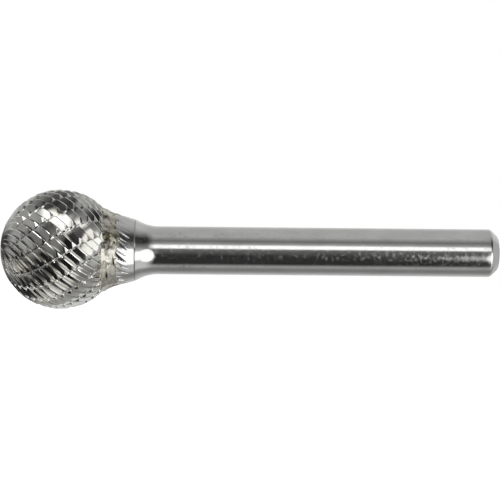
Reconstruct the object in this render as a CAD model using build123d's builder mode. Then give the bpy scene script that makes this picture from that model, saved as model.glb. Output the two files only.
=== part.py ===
"""Ball-nosed carbide burr: a double-cut carbide ball brazed to a steel shank.

The burr lies along X with the ball's tip towards -X.  The origin is on the
shank's axis, half way along the straight part that a collet grips.
Lengths are in millimetres, angles in degrees.
"""

from build123d import *
from math import atan2, ceil, cos, degrees, radians, sin, sqrt
import os

# ---- driving dimensions ------------------------------------------------------
overall_length = 66.25

# carbide ball
head_dia = 15.875  # 5/8 in
tip_angle = 5.0  # polar angle of the small flat that the flutes run into

# main flutes: a right-hand spiral of saw teeth
flute_count = 32  # every second one starts away from the tip
flute_depth = 0.42  # crest to gullet, square to the burr's axis
flute_twist = 0.90  # turn about the axis per unit of polar angle
flute_phase = 182.2  # where one crest crosses the ball's equator
rake_share = 0.08  # share of a pitch taken by the steep cutting face
short_flute_start = 24.0  # polar angle where every second flute starts
short_flute_full = 46.0  # polar angle where it reaches its full depth
flute_stations = (tip_angle, 14, 24, 35, 46, 62, 78, 94, 110, 122)  # where a tooth's lines are set

# chip breakers: shallower grooves of the opposite hand
breaker_count = 16
breaker_depth = 0.25
breaker_twist = -0.65
breaker_phase = 189.9
breaker_ramp = 0.78  # width of the long sloping side
breaker_step = 0.08  # width of the steep side
breaker_start = 34.0  # polar angle where the grooves run out near the tip
breaker_full = 50.0  # polar angle where they reach their full depth
breaker_clearance = 0.30  # how far the cutter stands out of the ball
breaker_stations = 7

# braze between the carbide and the steel
braze_gap = 0.12  # thickness between the two faces
braze_on_ball = 0.75  # how far the fillet creeps forward over the carbide
braze_on_neck = 1.00  # how far it creeps back over the steel
braze_root = 0.10  # depth of filler below the gullets, where the flutes end

# steel neck and shank
shank_dia = 6.35  # 1/4 in
seat_dia = 9.52  # end of the steel, and the back of the carbide that faces it
flare_length = 2.42  # ground cone behind the braze
flare_end_dia = 8.14
neck_slope = 25.8  # half angle of the turned cone that leads to the shank
neck_fillet = 4.0
scallop_depth = 0.12  # flat grinding marks where the flutes run out
scallop_length = 1.95
scallop_twist = 11.5  # degrees of turn per millimetre of length
scallop_step = 0.28  # share of a pitch that the loft turns from one section to the next
end_chamfer = 1.05  # both radial and axial size of the rear chamfer

# ---- places along the axis ---------------------------------------------------
head_radius = head_dia / 2
shank_radius = shank_dia / 2
seat_radius = seat_dia / 2
flare_end_radius = flare_end_dia / 2

# the ball is cut off where it is as wide as the seat, which makes it about 9/16 in long
cut_length = head_radius + sqrt(head_radius**2 - seat_radius**2)
tip_to_seat = cut_length + braze_gap
tip_to_flare = tip_to_seat + braze_on_neck
tip_to_neck = tip_to_flare + flare_length
neck_drop = flare_end_radius - shank_radius
tip_to_corner = tip_to_neck + neck_drop / sin(radians(neck_slope)) * cos(radians(neck_slope))
fillet_reach = neck_fillet * sin(radians(neck_slope / 2)) / cos(radians(neck_slope / 2))
grip_start = tip_to_corner + fillet_reach
grip_end = overall_length - end_chamfer
tip_x = -(grip_start + grip_end) / 2  # puts the origin half way along the grip

centre_x = tip_x + head_radius
carbide_back_x = tip_x + cut_length
braze_front_x = carbide_back_x - braze_on_ball
seat_x = tip_x + tip_to_seat
flare_x = tip_x + tip_to_flare
neck_x = tip_x + tip_to_neck
corner_x = tip_x + tip_to_corner
shank_end_x = tip_x + overall_length

# the ball's own radius, square to the axis, where the braze starts on it
braze_front_radius = sqrt(head_radius**2 - (braze_front_x - centre_x) ** 2)
spigot_radius = seat_radius - braze_root
flute_end_angle = degrees(atan2(braze_front_radius, centre_x - braze_front_x))
flute_pitch = 360 / flute_count


def across(x):
    """Plane square to the burr's axis at x, with its normal towards the shank."""
    return Plane(origin=(x, 0, 0), x_dir=(0, 1, 0), z_dir=(1, 0, 0))


def on_circle(radius, angle):
    """Point of a cross-section, from its radius and its angle in degrees."""
    return (radius * cos(radians(angle)), radius * sin(radians(angle)))


def saw_ring(radius, depth, turn, short_share=1.0):
    """Corners of a ring of saw teeth, a gullet and a crest for each tooth.

    short_share is how far every second tooth stands out of its neighbour's long
    flank: 0 leaves half the teeth, 1 gives all of them.
    """
    corners = []
    for tooth in range(flute_count):
        crest_angle = turn + tooth * flute_pitch
        is_short = tooth % 2 == 1
        for before_crest, full_drop in ((rake_share, depth), (0, 0)):
            drop = full_drop
            if is_short:
                # the long flank falls from the crest before to the gullet after
                long_flank = depth * (1 - before_crest) / (2 - rake_share)
                drop = short_share * full_drop + (1 - short_share) * long_flank
            corners.append(on_circle(radius - drop, crest_angle - before_crest * flute_pitch))
    return corners


def fade_in(angle, start, full):
    """0 before start, 1 after full, and straight in between."""
    return min(1, max(0, (angle - start) / (full - start)))


def ball_frame(polar, around, twist):
    """Plane square to a spiral path on the ball: x across the path, y outwards."""
    out = Vector(-cos(radians(polar)), *on_circle(sin(radians(polar)), around))
    along_polar = Vector(sin(radians(polar)), *on_circle(cos(radians(polar)), around))
    sideways = Vector(0, *on_circle(1, around + 90))
    path = (along_polar + sideways * (twist * sin(radians(polar)))).normalized()
    across_path = path.cross(out)
    return Plane(
        origin=Vector(centre_x, 0, 0) + out * head_radius,
        x_dir=across_path,
        z_dir=across_path.cross(out),
    )


# ---- carbide head ------------------------------------------------------------
# one chip breaker: a V with a long ramp and a steep step, swept by a loft
with BuildPart() as breaker_cutter:
    first, last = breaker_start, flute_end_angle + 6
    for station in range(breaker_stations):
        polar = first + (last - first) * station / (breaker_stations - 1)
        around = breaker_phase + breaker_twist * (polar - 90)
        depth = breaker_depth * fade_in(polar, breaker_start, breaker_full) + 0.01
        stretch = 1 + breaker_clearance / breaker_depth
        with BuildSketch(ball_frame(polar, around, breaker_twist)):
            with BuildLine():
                Polyline(
                    (0, -depth),
                    (breaker_step * stretch, breaker_clearance),
                    (-breaker_ramp * stretch, breaker_clearance),
                    close=True,
                )
            make_face()
    loft()

# the crests and gullets run through rings of saw teeth that turn and follow the ball
rings = []
stations = [angle for angle in flute_stations if angle < flute_end_angle]
for polar in (*stations, flute_end_angle):
    ring = saw_ring(
        radius=head_radius * sin(radians(polar)),
        depth=flute_depth,
        turn=flute_phase + flute_twist * (polar - 90),
        short_share=fade_in(polar, short_flute_start, short_flute_full),
    )
    ring_x = centre_x - head_radius * cos(radians(polar))
    rings.append([Vector(ring_x, *corner) for corner in ring])
tooth_lines = [Edge.make_spline(line) for line in zip(*rings)]
tooth_faces = [
    Face.make_surface_from_curves(line, following)
    for line, following in zip(tooth_lines, tooth_lines[1:] + tooth_lines[:1])
]
end_faces = [Face(Wire.make_polygon(ring, close=True)) for ring in (rings[0], rings[-1])]

with BuildPart() as carbide_head:
    add(Solid(Shell(tooth_faces + end_faces)))
    breaker_pitch = 360 / breaker_count
    grooves = [
        breaker_cutter.part.rotate(Axis.X, groove * breaker_pitch)
        for groove in range(breaker_count)
    ]
    add(grooves, mode=Mode.SUBTRACT)
    # plain back of the carbide, inside the braze
    with BuildSketch(across(braze_front_x)):
        Circle(spigot_radius)
    extrude(amount=carbide_back_x - braze_front_x)

# ---- braze joint -------------------------------------------------------------
with BuildPart() as braze_joint:
    with BuildSketch(Plane.XY):
        with BuildLine():
            Polyline(
                (carbide_back_x, 0),
                (carbide_back_x, spigot_radius),
                (braze_front_x, spigot_radius),
                (braze_front_x, braze_front_radius),
                (flare_x, seat_radius),
                (seat_x, seat_radius),
                (seat_x, 0),
                close=True,
            )
        make_face()
    revolve(axis=Axis.X)

# ---- steel shank -------------------------------------------------------------
flare_rate = (seat_radius - flare_end_radius) / flare_length
scallop_end_radius = seat_radius - flare_rate * scallop_length
# each section turns by less than half a pitch from the one before, so teeth match teeth
scallop_sections = 1 + ceil(scallop_twist * scallop_length / (scallop_step * flute_pitch))

with BuildPart() as steel_shank:
    # seat under the braze
    with BuildSketch(across(seat_x)):
        Circle(seat_radius)
    extrude(amount=braze_on_neck)
    # ground cone, with the shallow flats that the flutes leave as they run out
    for station in range(scallop_sections):
        share = station / (scallop_sections - 1)
        past_seat = scallop_length * share
        ring = saw_ring(
            radius=seat_radius - flare_rate * past_seat,
            depth=scallop_depth * (1 - share),
            turn=flute_phase + scallop_twist * past_seat,
        )
        with BuildSketch(across(flare_x + past_seat)):
            with BuildLine():
                Polyline(*ring, close=True)
            make_face()
    loft()
    # turned neck, straight shank and chamfered end
    with BuildSketch(Plane.XY) as turned_profile:
        with BuildLine():
            Polyline(
                (flare_x + scallop_length, 0),
                (flare_x + scallop_length, scallop_end_radius),
                (neck_x, flare_end_radius),
                (corner_x, shank_radius),
                (tip_x + grip_end, shank_radius),
                (shank_end_x, shank_radius - end_chamfer),
                (shank_end_x, 0),
                close=True,
            )
        make_face()
        corners = turned_profile.vertices()
        fillet(corners.sort_by_distance((corner_x, shank_radius))[0], neck_fillet)
    revolve(axis=Axis.X)

# ---- write the parts ---------------------------------------------------------
carbide_head.part.label = "carbide_head"
braze_joint.part.label = "braze_joint"
steel_shank.part.label = "steel_shank"

os.makedirs("parts", exist_ok=True)
export_step(carbide_head.part, "parts/carbide_head.step")
export_step(braze_joint.part, "parts/braze_joint.step")
export_step(steel_shank.part, "parts/steel_shank.step")

print("origin to tip", round(tip_x, 3), "to shank end", round(shank_end_x, 3))
print("straight shank", round(grip_start, 3), "to", round(grip_end, 3), "from the tip")
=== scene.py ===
"""Looks of the ball-nosed carbide burr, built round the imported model.

The burr lies along X with the ball's tip towards -X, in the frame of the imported
model.  Sizes below are in millimetres and angles in degrees, as on a drawing;
they are turned into metres where the meshes are made.  A place along the burr
is given as its distance from the tip.
"""

import bpy
import numpy as np
from mathutils import Matrix, Vector, noise


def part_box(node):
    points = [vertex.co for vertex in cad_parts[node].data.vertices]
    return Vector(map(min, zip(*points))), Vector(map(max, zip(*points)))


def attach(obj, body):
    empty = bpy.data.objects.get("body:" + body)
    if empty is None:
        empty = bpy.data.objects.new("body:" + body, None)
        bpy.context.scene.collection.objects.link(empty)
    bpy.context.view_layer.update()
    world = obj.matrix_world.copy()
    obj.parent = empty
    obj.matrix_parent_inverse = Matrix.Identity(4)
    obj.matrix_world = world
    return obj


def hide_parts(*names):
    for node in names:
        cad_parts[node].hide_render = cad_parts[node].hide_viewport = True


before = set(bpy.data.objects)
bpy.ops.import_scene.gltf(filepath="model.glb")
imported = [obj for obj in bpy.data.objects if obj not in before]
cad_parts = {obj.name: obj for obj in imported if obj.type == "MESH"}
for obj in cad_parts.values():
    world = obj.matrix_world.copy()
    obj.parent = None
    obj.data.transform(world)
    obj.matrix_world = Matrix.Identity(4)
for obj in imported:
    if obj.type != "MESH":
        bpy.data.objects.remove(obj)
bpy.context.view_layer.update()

METRES = 0.001

# ---- sizes of the burr -------------------------------------------------------
OVERALL_LENGTH = 66.25
HEAD_RADIUS = 7.9375
TIP_ANGLE = 5.0  # polar angle where the flutes start
SHANK_RADIUS = 3.175

# main flutes: a right-hand spiral of saw teeth
FLUTE_COUNT = 32
FLUTE_DEPTH = 0.42
FLUTE_TWIST = 0.90  # turn about the burr per unit of polar angle
FLUTE_PHASE = 182.2
RAKE_SHARE = 0.10  # share of a pitch taken by the steep cutting face
LAND_SHARE = 0.08  # and by the narrow land on the crest
FLANK_HOLLOW = 0.08
SHORT_FLUTE_START = 24.0  # polar angle where every second flute starts
SHORT_FLUTE_FULL = 46.0
FLUTE_END_ANGLE = 141.0  # under the braze

# chip breakers: shallower grooves of the opposite hand
BREAKER_COUNT = 16
BREAKER_DEPTH = 0.25
BREAKER_TWIST = 0.65
BREAKER_PHASE = 189.9
BREAKER_RAMP = 0.78
BREAKER_STEP = 0.08
BREAKER_START = 34.0
BREAKER_FULL = 50.0
SLOT_WIDTH = 0.13  # thin line that the wheel's corner leaves along each groove
SLOT_DEPTH = 0.07
GROUND_UNEVEN = 0.005

# mesh of the ball
RAKE_STEPS = 4  # columns on the cutting face
TOOTH_COLUMNS = 12  # columns on the whole tooth
GAP_STEPS = 15  # rows between two grooves
RAMP_STEPS = 6  # rows on the long side of a groove
GRID_OVERRUN = 30  # degrees that the grid runs past the ball's two ends
GRID_ROUNDS = 6  # rounds that settle the grid's polar angles
SMALLEST_RADIUS = 0.05

# braze, from under the ball's teeth to under the steel's edge
BRAZE_OUTLINE = (
    (12.95, 5.30),
    (13.30, 5.46),
    (13.57, 5.58),
    (13.83, 5.46),
    (14.10, 5.35),
    (14.37, 5.21),
    (14.91, 4.94),
    (15.44, 4.76),
    (15.75, 4.58),
)
BRAZE_ROWS = 84
BRAZE_COLUMNS = 480
BRAZE_CREEP = 0.55  # how far its two edges wander
LUMP_HEIGHT = 0.11
PIT_DEPTH = 0.35
CREVICE_DEPTH = 0.16
CREVICE_ROUGHNESS = 0.18
# pitted hollows and a crack: place, angle round the burr, half length, half width in degrees
CREVICES = (
    (14.45, 162, 0.42, 11),
    (15.10, 198, 0.10, 7),
    (14.20, 221, 0.12, 6),
    (14.60, 80, 0.40, 14),
    (14.30, 300, 0.35, 10),
    (14.80, 350, 0.15, 9),
)

# steel behind the braze
FLARE_START = 15.41
FLARE_START_RADIUS = 4.76
FLARE_END = 17.83
FLARE_END_RADIUS = 4.07
UNDER_BRAZE = 0.6  # how far the steel runs on under the braze
SCORE_WIDTH = 0.17  # line scored at the end of the cone
SCORE_DEPTH = 0.03
SCALLOP_LENGTH = 2.2
SCALLOP_DEPTH = 0.22
SCALLOP_TWIST = 7.0  # degrees of turn per millimetre
NECK_SLOPE = 25.8
NECK_FILLET = 5.5
END_CHAMFER = 1.05
END_CHAMFER_LENGTH = 1.05
END_EDGE_RADIUS = 0.65
END_FACE_RADIUS = 0.50
SHANK_COLUMNS_PER_FLUTE = 12
CONE_STEPS = 28
FILLET_STEPS = 14
SHANK_STEPS = 60
CORNER_STEPS = 8

TIP_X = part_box("steel_shank")[1].x / METRES - OVERALL_LENGTH
CENTRE_X = TIP_X + HEAD_RADIUS
FLUTE_PITCH = 360 / FLUTE_COUNT
BREAKER_PITCH = 360 / BREAKER_COUNT
BREAKER_ROWS = 1 + GAP_STEPS + RAMP_STEPS


# ---- meshes ------------------------------------------------------------------
def make_piece(name, points, faces, node, material, sharp_angle):
    """A mesh piece that stands for one CAD node.  points are in millimetres."""
    mesh = bpy.data.meshes.new(name)
    mesh.from_pydata((np.asarray(points) * METRES).tolist(), [], faces)
    mesh.validate()
    mesh.materials.append(material)
    mesh.shade_smooth()
    mesh.set_sharp_from_angle(angle=np.radians(sharp_angle))
    piece = bpy.data.objects.new(name, mesh)
    bpy.context.scene.collection.objects.link(piece)
    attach(piece, "root")
    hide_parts(node)
    return piece


def ring_faces(rows, columns):
    """Quads of a grid of points that closes on itself round the burr."""
    faces = []
    for row in range(rows - 1):
        for column in range(columns):
            beside = (column + 1) % columns
            here = row * columns
            ahead = here + columns
            faces.append((here + column, here + beside, ahead + beside, ahead + column))
    return faces


def saw_drop(share, land):
    """Drop of a saw tooth below its crest, from 0 to 1, at a share of the pitch."""
    flank = (share - land) / (1 - RAKE_SHARE - land)
    hollow = FLANK_HOLLOW * flank * (1 - flank)
    # the cutting face is hollow too: flat in the gullet and steep at the crest
    rise = 1 - (1 - share) / RAKE_SHARE
    rake = 1 - rise**2
    drop = np.where(share < land, 0, np.where(share < 1 - RAKE_SHARE, flank + hollow, rake))
    return np.clip(drop, 0, 1)


def fade_in(angle, start, full):
    return np.clip((angle - start) / (full - start), 0, 1)


def flute_drop(along, polar):
    """Depth of the flutes, square to the axis.  along counts pitches round the burr."""
    tooth = np.floor(along + 1e-6)
    share = np.clip(along - tooth, 0, 1)
    full = saw_drop(share, LAND_SHARE)
    # every second tooth rises out of the long flank of the tooth before it
    is_short = np.mod(tooth, 2) == 1
    long_flank = np.minimum(np.where(is_short, 1 + share, share) / (2 - RAKE_SHARE), 1)
    in_rake = share > 1 - RAKE_SHARE
    long_flank = np.where(is_short & in_rake, full, long_flank)
    present = fade_in(polar, SHORT_FLUTE_START, SHORT_FLUTE_FULL)
    return FLUTE_DEPTH * (present * full + (1 - present) * long_flank)


def head_points():
    """Points of the fluted ball on a skewed grid that follows flutes and breakers."""
    flank_shares = np.linspace(LAND_SHARE, 1 - RAKE_SHARE, TOOTH_COLUMNS - RAKE_STEPS)
    rake_shares = np.linspace(1 - RAKE_SHARE, 1, RAKE_STEPS + 1)[1:-1]
    tooth_shares = [0, *flank_shares, *rake_shares]
    along = np.array([tooth + share for tooth in range(FLUTE_COUNT) for share in tooth_shares])
    flute_angle = along * FLUTE_PITCH

    lean = FLUTE_TWIST + BREAKER_TWIST
    shift = BREAKER_PHASE - FLUTE_PHASE
    first_groove = int(np.floor(-(90 - TIP_ANGLE) * lean / BREAKER_PITCH)) - 2
    last_groove = int(np.ceil((FLUTE_END_ANGLE - 90) * lean / BREAKER_PITCH)) + 2
    grooves = np.arange(first_groove, last_groove + FLUTE_COUNT)
    groove_of_row = np.repeat(grooves, BREAKER_ROWS)[:, None]
    step_of_row = np.tile(np.arange(BREAKER_ROWS), len(grooves))[:, None]

    polar = np.full((len(groove_of_row), len(along)), 90.0)
    around = np.broadcast_to(flute_angle, polar.shape)
    for _ in range(GRID_ROUNDS):
        # angle round the burr taken by a millimetre across the breaker
        waist = np.sin(np.radians(np.clip(polar, 3, 177)))
        per_mm = np.degrees(np.sqrt(1 + (BREAKER_TWIST * waist) ** 2) / (HEAD_RADIUS * waist))
        deep = np.maximum(fade_in(polar, BREAKER_START, BREAKER_FULL), 0.02)
        slot = np.minimum(SLOT_WIDTH / 2 * deep * per_mm, 0.05 * BREAKER_PITCH)
        ramp_top = BREAKER_PITCH - np.minimum(BREAKER_RAMP * deep * per_mm, 0.7 * BREAKER_PITCH)
        gap = (step_of_row - 1) / GAP_STEPS
        ramp = (step_of_row - 1 - GAP_STEPS) / RAMP_STEPS
        in_gap = slot + gap * (ramp_top - slot)
        on_ramp = ramp_top + ramp * (BREAKER_PITCH - slot - ramp_top)
        offset = np.where(step_of_row == 0, 0, np.where(gap <= 1, in_gap, on_ramp))
        breaker_angle = groove_of_row * BREAKER_PITCH + offset
        polar = 90 + (breaker_angle + shift - around) / lean
        polar = np.clip(polar, TIP_ANGLE - GRID_OVERRUN, FLUTE_END_ANGLE + GRID_OVERRUN)

    across = (offset - np.where(offset > BREAKER_PITCH / 2, BREAKER_PITCH, 0)) / per_mm
    slope = np.where(across > 0, across / BREAKER_STEP, -across / BREAKER_RAMP)
    breaker_drop = BREAKER_DEPTH * np.clip(deep - slope, 0, 1)
    breaker_drop = np.where(polar < BREAKER_START, 0, breaker_drop)
    slot_drop = np.where((step_of_row == 0) & (polar > BREAKER_START), SLOT_DEPTH * deep, 0)
    return along, around, polar, breaker_drop, slot_drop


def build_head(material):
    along, around, polar, breaker_drop, slot_drop = head_points()
    rows, columns = polar.shape
    reached = np.clip(polar, TIP_ANGLE, FLUTE_END_ANGLE)
    waist = np.sin(np.radians(reached))
    drop = flute_drop(np.broadcast_to(along, polar.shape), reached)
    drop = np.maximum(drop, breaker_drop / waist) + slot_drop
    angle = np.radians(FLUTE_PHASE + around + FLUTE_TWIST * (reached - 90))
    drop += waist * hand_ground(reached, np.degrees(angle))
    radius = np.maximum(HEAD_RADIUS * waist - drop, SMALLEST_RADIUS)
    points = np.stack(
        (
            CENTRE_X - HEAD_RADIUS * np.cos(np.radians(reached)),
            radius * np.cos(angle),
            radius * np.sin(angle),
        ),
        axis=-1,
    ).reshape(-1, 3)

    # the grid closes round the burr one turn of breakers further on
    rows_per_turn = BREAKER_COUNT * BREAKER_ROWS
    inside_before = polar > TIP_ANGLE
    inside_after = polar < FLUTE_END_ANGLE
    faces = []
    crest_highlight = []
    for column in range(columns):
        wraps = column == columns - 1
        # the land, and the steep half of the cutting face next to it
        at_crest = (column + RAKE_STEPS / 2) % TOOTH_COLUMNS <= RAKE_STEPS / 2
        beside = 0 if wraps else column + 1
        lag = rows_per_turn if wraps else 0
        for row in range(max(0, lag), rows - 1):
            other = row - lag
            corners = ((row, column), (other, beside), (other + 1, beside), (row + 1, column))
            if not any(inside_before[r, c] for r, c in corners):
                continue
            if not any(inside_after[r, c] for r, c in corners):
                continue
            faces.append(tuple(r * columns + c for r, c in corners))
            # faces on the crests and along the slots get the painted crest highlight
            crest_highlight.append(float(at_crest or row % BREAKER_ROWS == 0))
    # small flat at the tip: the first row of points lies on its rim
    tip_flat = CENTRE_X - HEAD_RADIUS * np.cos(np.radians(TIP_ANGLE))
    flat_centre = len(points)
    points = np.vstack((points, (tip_flat, 0, 0)))
    for column in range(0, columns, 2):
        rim = [(column + step) % columns for step in (2, 1, 0)]
        faces.append((flat_centre, *rim))
        crest_highlight.append(0.0)
    used, faces = np.unique(np.array(faces), return_inverse=True)
    faces = faces.reshape(-1, 4).tolist()
    ball = make_piece(
        "fluted_ball", points[used], faces, "carbide_head", material, sharp_angle=20
    )
    # marks the faces whose colour carries the painted crest highlight
    attribute = ball.data.attributes.new("crest_highlight", "FLOAT", "FACE")
    attribute.data.foreach_set("value", crest_highlight)
    return ball


def hand_ground(polar, around):
    """Small unevenness of the ground faces, always inwards, in millimetres."""
    waves = np.sin(np.radians(5.3 * around + 3.1 * polar)) * np.sin(np.radians(7.9 * polar))
    waves += np.sin(np.radians(11.0 * around - 6.7 * polar + 40))
    waves += np.sin(np.radians(17.0 * around + 13.3 * polar + 75))
    return GROUND_UNEVEN * (3 + waves)


def steel_outline():
    """Places and radii of the steel's profile, from under the braze to the end."""
    slope = np.radians(NECK_SLOPE)
    corner = FLARE_END + (FLARE_END_RADIUS - SHANK_RADIUS) / np.tan(slope)
    reach = NECK_FILLET * np.tan(slope / 2)
    half_score = SCORE_WIDTH / 2
    flare_rate = (FLARE_START_RADIUS - FLARE_END_RADIUS) / (FLARE_END - FLARE_START)
    outline = [(FLARE_START - UNDER_BRAZE, FLARE_START_RADIUS - 0.1)]
    for place in np.linspace(FLARE_START, FLARE_START + SCALLOP_LENGTH, CONE_STEPS):
        outline.append((place, FLARE_START_RADIUS - flare_rate * (place - FLARE_START)))
    outline.append((FLARE_END - half_score, FLARE_END_RADIUS + flare_rate * half_score))
    outline.append((FLARE_END, FLARE_END_RADIUS - SCORE_DEPTH))
    outline.append((FLARE_END + half_score, FLARE_END_RADIUS - np.tan(slope) * half_score))
    # the fillet's centre lies outside the shank, over the end of its arc
    fillet_end = corner + reach
    for bend in np.linspace(slope, 0, FILLET_STEPS):
        place = fillet_end - NECK_FILLET * np.sin(bend)
        outline.append((place, SHANK_RADIUS + NECK_FILLET * (1 - np.cos(bend))))
    straight_end = OVERALL_LENGTH - END_CHAMFER_LENGTH - 1
    for place in np.linspace(fillet_end + 1, straight_end, SHANK_STEPS):
        outline.append((place, SHANK_RADIUS))
    # chamfered end with its two softened corners
    chamfer = np.arctan2(END_CHAMFER, END_CHAMFER_LENGTH)
    edge = OVERALL_LENGTH - END_CHAMFER_LENGTH
    back = END_EDGE_RADIUS * np.tan(chamfer / 2)
    for bend in np.linspace(0, chamfer, CORNER_STEPS):
        place = edge - back + END_EDGE_RADIUS * np.sin(bend)
        outline.append((place, SHANK_RADIUS - END_EDGE_RADIUS * (1 - np.cos(bend))))
    turn = np.pi / 2 - chamfer
    back = END_FACE_RADIUS * np.tan(turn / 2)
    face_radius = SHANK_RADIUS - END_CHAMFER
    for bend in np.linspace(chamfer, np.pi / 2, CORNER_STEPS):
        place = OVERALL_LENGTH - END_FACE_RADIUS * (1 - np.sin(bend))
        radius = face_radius - back + END_FACE_RADIUS * np.cos(bend)
        outline.append((place, radius))
    outline.append((OVERALL_LENGTH, face_radius * 0.5))
    outline.append((OVERALL_LENGTH, 0.01))
    return np.array(outline)


def build_shank(material):
    outline = steel_outline()
    columns = FLUTE_COUNT * SHANK_COLUMNS_PER_FLUTE
    turn = np.arange(columns) / columns * 360
    place = outline[:, :1]
    past = np.clip(place - FLARE_START, 0, SCALLOP_LENGTH)
    along = (turn - SCALLOP_TWIST * past) / FLUTE_PITCH
    share = np.mod(along, 1)
    # no two of the flats are equally long or deep
    flat = np.mod(np.floor(along), FLUTE_COUNT)
    reach = SCALLOP_LENGTH * (0.70 + 0.30 * np.abs(np.sin(2.3 * flat)))
    deep = np.where(np.mod(flat, 2) == 0, 0.80, 0.40) + 0.20 * np.sin(1.7 * flat + 0.6)
    scallop = SCALLOP_DEPTH * deep * (1 - past / reach)
    valley = 1 - saw_drop(share, 0)
    notch = np.maximum(scallop - SCALLOP_DEPTH * valley, 0)
    radius = outline[:, 1:] - notch
    angle = np.radians(turn + FLUTE_PHASE)
    points = np.stack(
        (
            np.broadcast_to(TIP_X + place, radius.shape),
            radius * np.cos(angle),
            radius * np.sin(angle),
        ),
        axis=-1,
    ).reshape(-1, 3)
    faces = [face[::-1] for face in ring_faces(len(outline), columns)]
    return make_piece(
        "shank_with_neck", points, faces, "steel_shank", material, sharp_angle=14
    )


def build_braze(material):
    """The braze fillet: lumpy, pitted, and uneven at both its edges."""
    outline = np.array(BRAZE_OUTLINE)
    first, last = outline[0, 0], outline[-1, 0]
    points = []
    hollows = []
    for share in np.linspace(0, 1, BRAZE_ROWS):
        middle = np.sin(np.pi * share) ** 0.6
        for column in range(BRAZE_COLUMNS):
            turn = column / BRAZE_COLUMNS * 360
            angle = np.radians(turn)
            ring = Vector((0, np.cos(angle), np.sin(angle)))
            front_creep = BRAZE_CREEP * noise.noise(ring * 5.0)
            rear_creep = BRAZE_CREEP * noise.noise(ring * 4.0 + Vector((7, 0, 0)))
            place = first + (last - first) * share
            radius = np.interp(place, outline[:, 0], outline[:, 1])
            place += front_creep * (1 - share) + rear_creep * share
            spot = Vector((place, 0, 0)) + ring * radius
            crevice = 0
            for crevice_place, crevice_turn, length, width in CREVICES:
                off = ((place - crevice_place) / length) ** 2
                off += ((turn - crevice_turn) / width) ** 2
                crevice += np.exp(-off)
            lumps = noise.fractal(spot * 0.55, 1.0, 2.0, 3)
            pits = min(noise.noise(spot * 1.3) + 0.22, 0)
            rise = LUMP_HEIGHT * lumps + PIT_DEPTH * pits - CREVICE_DEPTH * crevice
            rise += CREVICE_ROUGHNESS * crevice * noise.noise(spot * 2.2)
            points.append(Vector((TIP_X + place, 0, 0)) + ring * (radius + middle * rise))
            hollows.append(min(crevice - 1.2 * pits, 1))
    faces = [face[::-1] for face in ring_faces(BRAZE_ROWS, BRAZE_COLUMNS)]
    fillet = make_piece(
        "braze_ring", points, faces, "braze_joint", material, sharp_angle=60
    )
    attribute = fillet.data.attributes.new("hollow", "FLOAT", "POINT")
    attribute.data.foreach_set("value", hollows)
    return fillet


# ---- shader nodes ------------------------------------------------------------
EVEN = (1, 1, 1)


def new_node(tree, kind, inputs=None, **settings):
    """A node with its inputs set to numbers or joined to other nodes' outputs."""
    node = tree.nodes.new(kind)
    for name, value in settings.items():
        setattr(node, name, value)
    for name, value in (inputs or {}).items():
        if isinstance(value, bpy.types.NodeSocket):
            tree.links.new(value, node.inputs[name])
        else:
            node.inputs[name].default_value = value
    return node


def maths(tree, operation, *values):
    node = new_node(tree, "ShaderNodeMath", dict(enumerate(values)), operation=operation)
    return node.outputs[0]


def fade(tree, value, start, end, low=0.0, high=1.0):
    """low at start, high at end, held outside them."""
    sockets = {"Value": value, "From Min": start, "From Max": end, "To Min": low, "To Max": high}
    return new_node(tree, "ShaderNodeMapRange", sockets).outputs[0]


def grey(level):
    return (level, level, level, 1)


def blend(tree, share, first, second):
    """Grey level or colour between first and second."""
    sockets = {"Factor": share}
    for index, value in ((6, first), (7, second)):
        sockets[index] = grey(value) if isinstance(value, float) else value
    return new_node(tree, "ShaderNodeMix", sockets, data_type="RGBA").outputs[2]


def grain(tree, scale, detail=3.0, roughness=0.55, stretch=EVEN):
    """Noise over the surface, with scale lumps to a millimetre of the burr."""
    place = new_node(tree, "ShaderNodeTexCoord").outputs["Object"]
    per_metre = [share / METRES for share in stretch]
    spread = new_node(tree, "ShaderNodeMapping", {"Vector": place, "Scale": per_metre})
    sockets = {"Vector": spread.outputs[0], "Scale": scale, "Detail": detail}
    sockets["Roughness"] = roughness
    return new_node(tree, "ShaderNodeTexNoise", sockets).outputs["Fac"]


# ---- materials ---------------------------------------------------------------
CARBIDE_COLOURS = ((0.37, 0.36, 0.33, 1), (0.45, 0.45, 0.43, 1))
CARBIDE_SPECK = (0.20, 0.19, 0.17, 1)
# painted highlight: a bright colour for the crests and the grooves' steep sides
CREST_HIGHLIGHT_COLOUR = (0.78, 0.78, 0.76, 1)
STEEL_COLOURS = ((0.47, 0.47, 0.46, 1), (0.54, 0.54, 0.53, 1))
STEEL_PIT = (0.22, 0.21, 0.20, 1)
SCORE_COLOUR = (0.30, 0.295, 0.285, 1)
BRAZE_COLOURS = ((0.34, 0.32, 0.26, 1), (0.46, 0.45, 0.40, 1))
# colour that the braze's pits and crevices are darkened towards
BRAZE_HOLLOW_COLOUR = (0.085, 0.072, 0.045, 1)


def metal(name):
    material = bpy.data.materials.new(name)
    material.use_nodes = True
    tree = material.node_tree
    shader = tree.nodes["Principled BSDF"]
    shader.inputs["Metallic"].default_value = 1.0
    return material, tree, shader


def bump(tree, shader, height, depth_mm):
    """Relief of the given depth, in millimetres, on top of the mesh's own shape."""
    sockets = {"Height": height, "Strength": 1.0, "Distance": depth_mm * METRES}
    relief = new_node(tree, "ShaderNodeBump", sockets)
    tree.links.new(relief.outputs[0], shader.inputs["Normal"])


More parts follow.
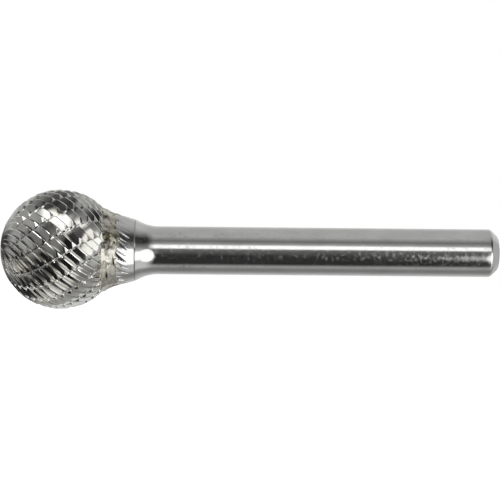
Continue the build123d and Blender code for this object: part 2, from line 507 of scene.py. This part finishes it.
def carbide_material():
    material, tree, shader = metal("ground_carbide")
    patches = fade(tree, grain(tree, 0.45, detail=2.0), 0.35, 0.65)
    colour = blend(tree, patches, *CARBIDE_COLOURS)
    specks = fade(tree, grain(tree, 5.5, detail=1.0), 0.70, 0.76)
    colour = blend(tree, specks, colour, CARBIDE_SPECK)
    # painted highlight: the crests and the groove's steep sides are painted brighter to stand
    # for the glints along these edges
    crest_highlight = new_node(tree, "ShaderNodeAttribute", attribute_name="crest_highlight").outputs["Fac"]
    colour = blend(tree, crest_highlight, colour, CREST_HIGHLIGHT_COLOUR)
    tree.links.new(colour, shader.inputs["Base Color"])
    rough = fade(tree, grain(tree, 1.3), 0.35, 0.70, 0.06, 0.16)
    tree.links.new(rough, shader.inputs["Roughness"])
    bump(tree, shader, grain(tree, 3.0), 0.0012)
    return material


def steel_material():
    material, tree, shader = metal("turned_steel")
    cloud = fade(tree, grain(tree, 0.5, stretch=(0.5, 1, 1)), 0.3, 0.7)
    colour = blend(tree, cloud, *STEEL_COLOURS)
    pits = fade(tree, grain(tree, 4.2, detail=2.0), 0.70, 0.76)
    colour = blend(tree, pits, colour, STEEL_PIT)
    # darker colour in the scored line at the end of the ground cone
    place = new_node(tree, "ShaderNodeTexCoord").outputs["Object"]
    along = new_node(tree, "ShaderNodeSeparateXYZ", {0: place}).outputs["X"]
    away = maths(tree, "ABSOLUTE", maths(tree, "SUBTRACT", along, (TIP_X + FLARE_END) * METRES))
    in_score = fade(tree, away, 0.7 * SCORE_WIDTH * METRES, 0.3 * SCORE_WIDTH * METRES)
    colour = blend(tree, in_score, colour, SCORE_COLOUR)
    tree.links.new(colour, shader.inputs["Base Color"])
    dull = grain(tree, 2.4, detail=4.0, roughness=0.6)
    dull = fade(tree, dull, 0.48, 0.70, 0.10, 0.26)
    tree.links.new(dull, shader.inputs["Roughness"])
    bump(tree, shader, grain(tree, 4.0), 0.0026)
    return material


def braze_material():
    material, tree, shader = metal("braze")
    cloud = fade(tree, grain(tree, 0.40), 0.36, 0.60)
    colour = blend(tree, cloud, *BRAZE_COLOURS)
    hollow = new_node(tree, "ShaderNodeAttribute", attribute_name="hollow").outputs["Fac"]
    mottle = fade(tree, grain(tree, 2.2), 0.34, 0.60, 0.35, 1.0)
    # darker in the pits and crevices, in patches
    darker_in_hollows = fade(tree, maths(tree, "MULTIPLY", hollow, mottle), 0.15, 0.60)
    colour = blend(tree, darker_in_hollows, colour, BRAZE_HOLLOW_COLOUR)
    tree.links.new(colour, shader.inputs["Base Color"])
    rough = fade(tree, grain(tree, 1.2), 0.3, 0.7, 0.16, 0.36)
    tree.links.new(rough, shader.inputs["Roughness"])
    bump(tree, shader, grain(tree, 1.8), 0.006)
    return material


build_head(carbide_material())
build_braze(braze_material())
build_shank(steel_material())


# ---- studio ------------------------------------------------------------------
# brightness of the studio's walls and cards by height angle round the burr: 0 faces the
# camera, 90 is up.  Between two stops the brightness changes evenly.
MIDDLE_LIGHT = (
    (-170, 0.10),  # gap behind the burr
    (-160, 0.90),
    (-112, 0.35),
    (-98, 0.35),
    (-82, 0.60),  # pale table edge
    (-66, 0.05),  # dark card under the camera
    (-24, 0.05),
    (6, 0.25),
    (12, 2.2),  # long lamp
    (22, 2.2),
    (30, 0.60),
    (46, 0.26),
    (70, 0.70),  # pale wall and ceiling
    (136, 0.72),
    (166, 0.95),
    (172, 0.10),
)
LEFT_LIGHT = (
    (-174, 0.10),
    (-164, 0.80),
    (-140, 0.12),
    (-100, 0.03),  # dark room
    (-20, 0.03),
    (30, 0.40),
    (52, 0.10),
    (78, 0.10),
    (126, 0.45),
    (140, 1.0),  # pale wall behind
    (166, 1.0),
    (176, 0.10),
)
RIGHT_LIGHT = (
    (-172, 0.10),
    (-160, 0.80),
    (-128, 0.70),
    (-114, 0.36),
    (-100, 0.38),
    (-88, 0.95),  # pale wall on the right
    (-6, 0.90),
    (6, 0.50),
    (36, 0.05),  # dark card over the camera
    (60, 0.05),
    (106, 0.80),
    (168, 1.0),
    (174, 0.10),
)
END_LIGHT = 0.70  # straight ahead on the right
FRONT_LIGHT = 0.66  # straight ahead on the left
# a card's edges: dark up to the first, lit between the middle two, dark from the last
WINDOW_LIGHT = 2.8
WINDOW_HEIGHTS = (-8, 4, 30, 40)
WINDOW_SIDES = (-0.90, -0.80, -0.30, -0.10)
WINDOW_SLANT = 100  # degrees of height per unit to the left, past WINDOW_BEND
WINDOW_BEND = -0.45
SHEET_LIGHT = 0.40
SHEET_HEIGHTS = (-66, -46, -6, 8)
LAMP_LIGHT = 2.2
LAMP_PLACE = (0.50, -27)  # to the right, and height angle
LAMP_SIZE = (0.33, 31)


def light_ramp(tree, height, levels):
    """Grey level of the studio at a height angle, straight between the given levels."""
    sockets = {"Value": height, "From Min": -180.0, "From Max": 180.0}
    share = new_node(tree, "ShaderNodeMapRange", sockets)
    ramp = new_node(tree, "ShaderNodeValToRGB", {0: share.outputs[0]})
    elements = ramp.color_ramp.elements
    while len(elements) < len(levels):
        elements.new(1.0)
    for element, (angle, level) in zip(elements, levels):
        element.position = (angle + 180) / 360
        element.color = grey(level)
    return ramp.outputs["Color"]


def card(tree, value, edges):
    """1 between the two middle edges and 0 outside the outer two."""
    fade_up = fade(tree, value, edges[0], edges[1])
    fade_down = fade(tree, value, edges[3], edges[2])
    return maths(tree, "MULTIPLY", fade_up, fade_down)


def studio_world():
    """White to the camera; the burr sees walls, a lamp strip, a window and dark cards."""
    world = bpy.data.worlds.new("studio")
    bpy.context.scene.world = world
    world.use_nodes = True
    tree = world.node_tree
    tree.nodes.clear()
    way = new_node(tree, "ShaderNodeTexCoord").outputs["Generated"]
    split = new_node(tree, "ShaderNodeSeparateXYZ", {0: way})
    to_right = split.outputs["X"]
    to_camera = maths(tree, "MULTIPLY", split.outputs["Y"], -1)
    height = maths(tree, "ARCTAN2", split.outputs["Z"], to_camera)
    height = maths(tree, "DEGREES", height)

    middle = light_ramp(tree, height, MIDDLE_LIGHT)
    left = light_ramp(tree, height, LEFT_LIGHT)
    right = light_ramp(tree, height, RIGHT_LIGHT)
    light = blend(tree, fade(tree, to_right, -0.10, -0.02), left, middle)
    light = blend(tree, fade(tree, to_right, 0.17, 0.46), light, right)
    light = blend(tree, fade(tree, to_right, 0.78, 0.86), light, END_LIGHT)

    # things that stand about on the left break its light up
    clutter = {"Vector": way, "Scale": 4.5, "Detail": 2.0}
    clutter = new_node(tree, "ShaderNodeTexNoise", clutter).outputs["Fac"]
    patchy = fade(tree, clutter, 0.40, 0.60, 0.60, 1.10)
    patchy = blend(tree, fade(tree, to_right, -0.05, -0.25), 1.0, patchy)
    sockets = {0: light, 1: patchy}
    light = new_node(tree, "ShaderNodeVectorMath", sockets, operation="MULTIPLY").outputs[0]

    # the window stands on the left and slants up towards its far side
    past = maths(tree, "MINIMUM", maths(tree, "SUBTRACT", to_right, WINDOW_BEND), 0)
    slanted = maths(tree, "MULTIPLY_ADD", past, WINDOW_SLANT, height)
    window = card(tree, slanted, WINDOW_HEIGHTS)
    window = maths(tree, "MULTIPLY", window, card(tree, to_right, WINDOW_SIDES))
    light = blend(tree, window, light, WINDOW_LIGHT)
    light = blend(tree, fade(tree, to_right, -0.80, -0.92), light, FRONT_LIGHT)

    # a round lamp low on the right shows in the neck's fillet
    beside = maths(tree, "SUBTRACT", to_right, LAMP_PLACE[0])
    beside = maths(tree, "DIVIDE", beside, LAMP_SIZE[0])
    above = maths(tree, "SUBTRACT", height, LAMP_PLACE[1])
    above = maths(tree, "DIVIDE", above, LAMP_SIZE[1])
    outside = maths(tree, "MULTIPLY_ADD", above, above, maths(tree, "MULTIPLY", beside, beside))
    light = blend(tree, fade(tree, outside, 1.15, 0.85), light, LAMP_LIGHT)

    # a pale sheet stands low on the far left
    sheet = card(tree, height, SHEET_HEIGHTS)
    sheet = maths(tree, "MULTIPLY", sheet, fade(tree, to_right, -0.34, -0.52))
    light = blend(tree, sheet, light, SHEET_LIGHT)

    rays = new_node(tree, "ShaderNodeLightPath")
    light = blend(tree, rays.outputs["Is Camera Ray"], light, 1.0)
    background = new_node(tree, "ShaderNodeBackground", {"Color": light})
    new_node(tree, "ShaderNodeOutputWorld", {"Surface": background.outputs[0]})


studio_world()

# ---- pale floor, well under the burr -----------------------------------------
FLOOR_HEIGHT = -60.0
FLOOR_REACH = 3000.0
FLOOR_COLOUR = 0.9
FLOOR_GLOW = 0.7

near, far, level = -FLOOR_REACH * METRES, FLOOR_REACH * METRES, FLOOR_HEIGHT * METRES
corners = [(near, near, level), (far, near, level), (far, far, level), (near, far, level)]
floor_mesh = bpy.data.meshes.new("floor")
floor_mesh.from_pydata(corners, [], [(0, 1, 2, 3)])
floor = bpy.data.objects.new("floor", floor_mesh)
bpy.context.scene.collection.objects.link(floor)
floor.visible_glossy = False
floor_paint = bpy.data.materials.new("pale_floor")
floor_paint.use_nodes = True
floor_tree = floor_paint.node_tree
floor_shader = floor_tree.nodes["Principled BSDF"]
floor_shader.inputs["Base Color"].default_value = grey(FLOOR_COLOUR)
floor_shader.inputs["Roughness"].default_value = 0.9
floor_shader.inputs["Emission Color"].default_value = grey(1)
# a little of its own light, for the camera alone, brings the floor up to the white behind it
seen = new_node(floor_tree, "ShaderNodeLightPath").outputs["Is Camera Ray"]
glow = maths(floor_tree, "MULTIPLY", seen, FLOOR_GLOW)
floor_tree.links.new(glow, floor_shader.inputs["Emission Strength"])
floor_mesh.materials.append(floor_paint)

# ---- camera ------------------------------------------------------------------
CAMERA_PLACE = Vector((-18.35, -248.0, 0.0))
CAMERA_YAW = 1.98
CAMERA_PITCH = 0.031
CAMERA_ROLL = 0.52
FOCAL_LENGTH = 134.0
SENSOR_WIDTH = 36

camera_data = bpy.data.cameras.new("camera")
camera_data.lens = FOCAL_LENGTH
camera_data.sensor_width = SENSOR_WIDTH
camera_data.clip_start = 0.01
camera_data.clip_end = 20
camera = bpy.data.objects.new("camera", camera_data)
bpy.context.scene.collection.objects.link(camera)
bpy.context.scene.camera = camera
upright = Matrix.Rotation(np.radians(90 + CAMERA_PITCH), 4, "X")
yaw = Matrix.Rotation(np.radians(-CAMERA_YAW), 4, "Z")
roll = Matrix.Rotation(np.radians(CAMERA_ROLL), 4, "Z")
camera.matrix_world = Matrix.Translation(CAMERA_PLACE * METRES) @ yaw @ upright @ roll

bpy.context.scene.view_settings.view_transform = "Standard"
